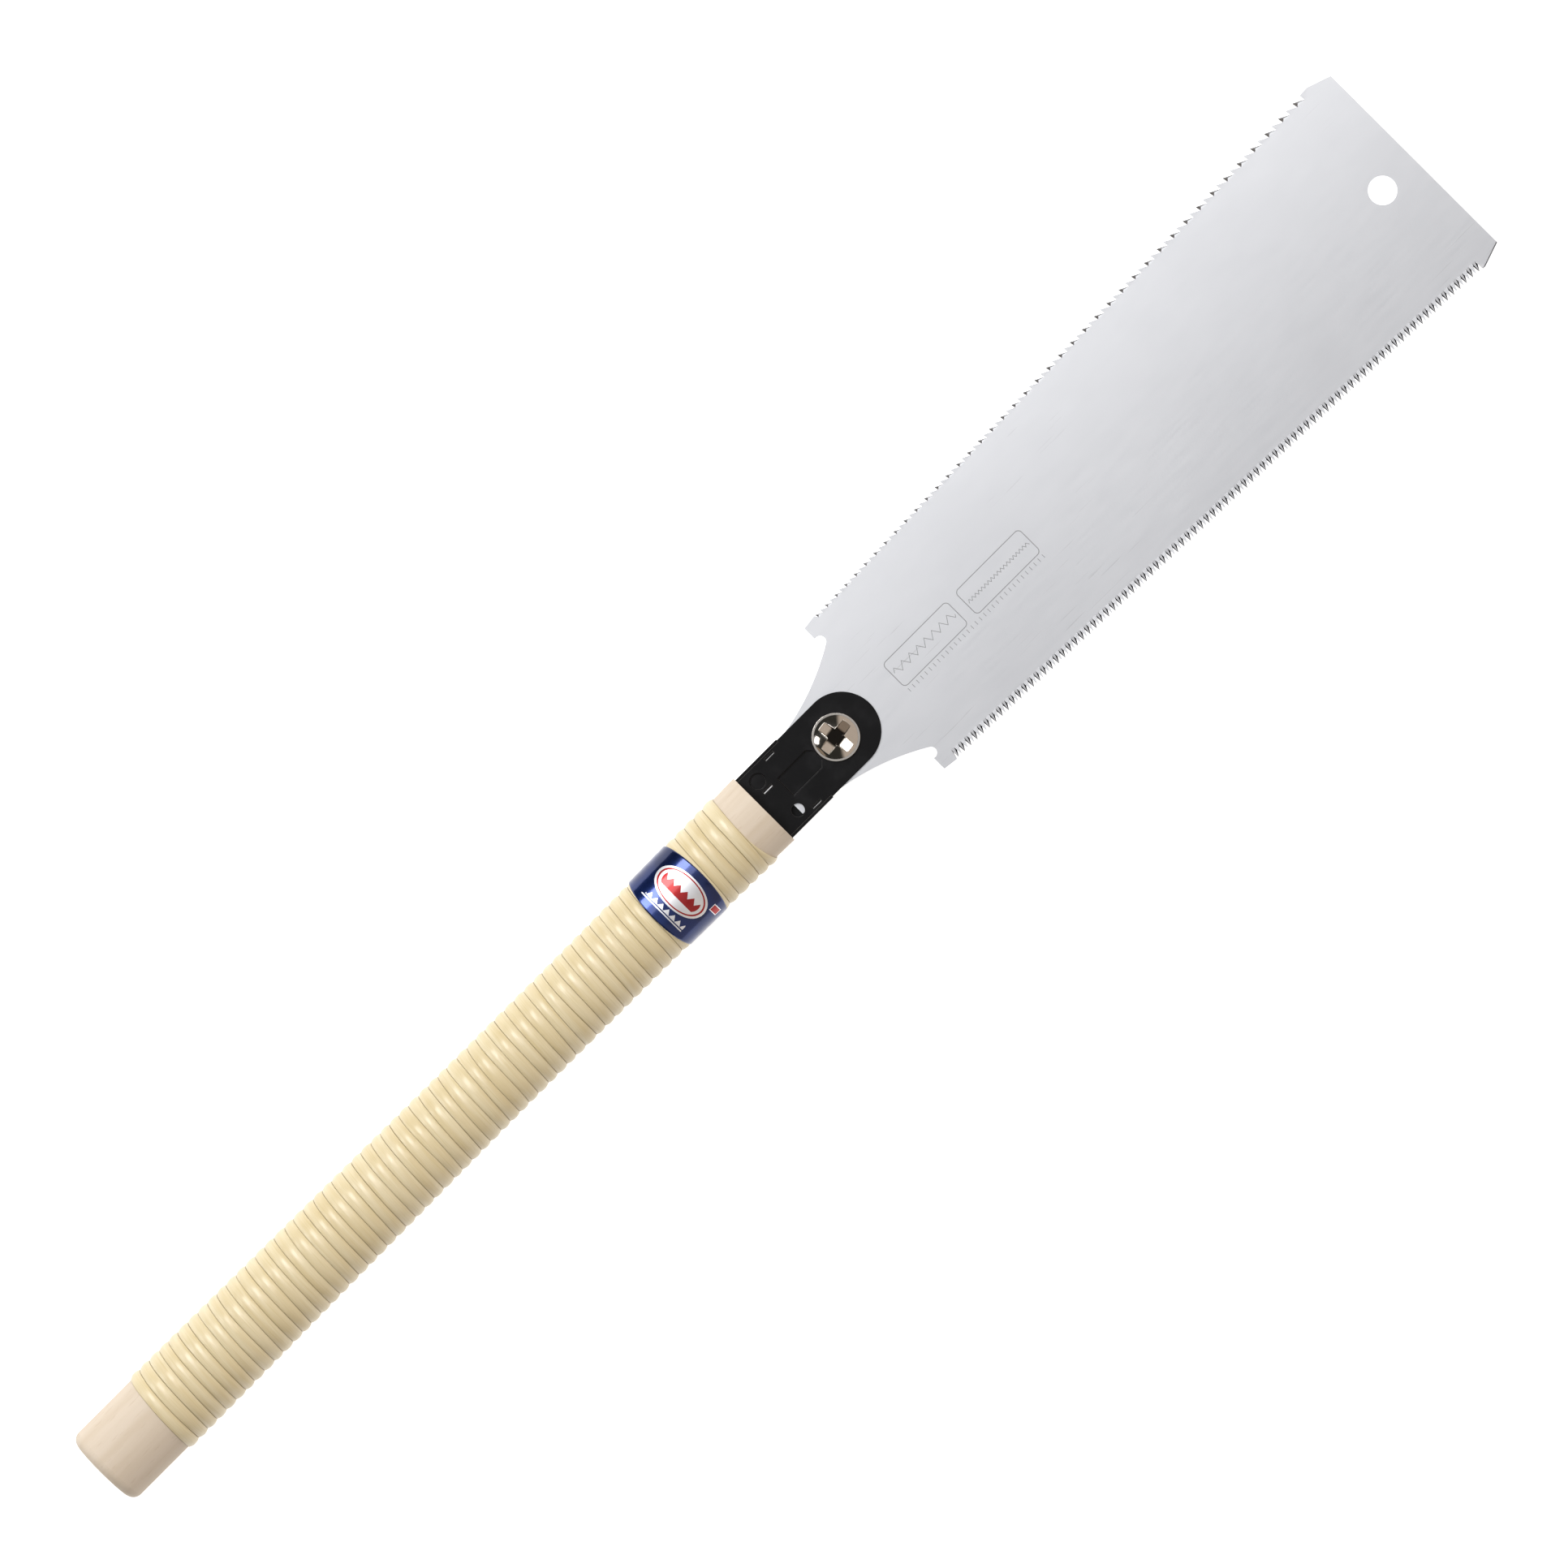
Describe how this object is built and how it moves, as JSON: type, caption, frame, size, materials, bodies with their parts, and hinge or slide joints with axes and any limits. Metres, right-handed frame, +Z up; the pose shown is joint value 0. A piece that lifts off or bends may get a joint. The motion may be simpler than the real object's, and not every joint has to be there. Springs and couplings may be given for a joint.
{
  "type": "hand saw",
  "caption": "Double-edged pull saw: thin tapered steel blade clamped by a domed screw in a black pressed head, on a long oval wooden handle wrapped in rattan strip with a foil band.",
  "frame": {"origin": "middle of the saw's length and width, on the surface that the wrapped handle lies on", "axes": "+X from the butt of the handle to the tip of the blade, +Y across the blade towards the rip teeth, +Z up out of the face with the screw head"},
  "size_m": [0.627, 0.0854, 0.0265],
  "materials": {
    "bare_wood": "sanded pale softwood, unvarnished",
    "rattan": "smooth glossy rattan skin",
    "band_foil": "metallic blue printed film",
    "pin_steel": "plain drawn wire",
    "black_steel": "satin black coating on pressed steel",
    "nut_steel": "zinc plated",
    "nickel": "bright nickel plate",
    "blade_steel": "finely ground along its length"
  },
  "bodies": {
    "handle": {"handle_half_upper": "bare_wood", "handle_half_lower": "bare_wood", "rattan_wrap": "rattan", "label_band": "band_foil", "tang_pins": "pin_steel", "head_back_plate": "black_steel", "head_cover_plate": "black_steel", "clamp_nut": "nut_steel"},
    "washer": {"screw_washer": "nickel"},
    "screw": {"clamp_screw": "nickel"},
    "blade": {"blade": "blade_steel"}
  },
  "joints": [
    {"name": "screw_rise", "type": "slide", "parent": "handle", "child": "washer", "axis": [0, 0, 1], "range_m": [0, 0.0025]},
    {"name": "screw_turn", "type": "hinge", "parent": "washer", "child": "screw", "pos_m": [0.0371, 0, 0.01325], "axis": [0, 0, 1], "range_deg": [0, 720]},
    {"name": "blade_slide", "type": "slide", "parent": "handle", "child": "blade", "axis": [1, 0, 0], "range_m": [0, 0.0424]}
  ],
  "couplings": [
    {"joint": "screw_rise", "follows": "screw_turn", "m_per_rad": 0.00019894}
  ]
}
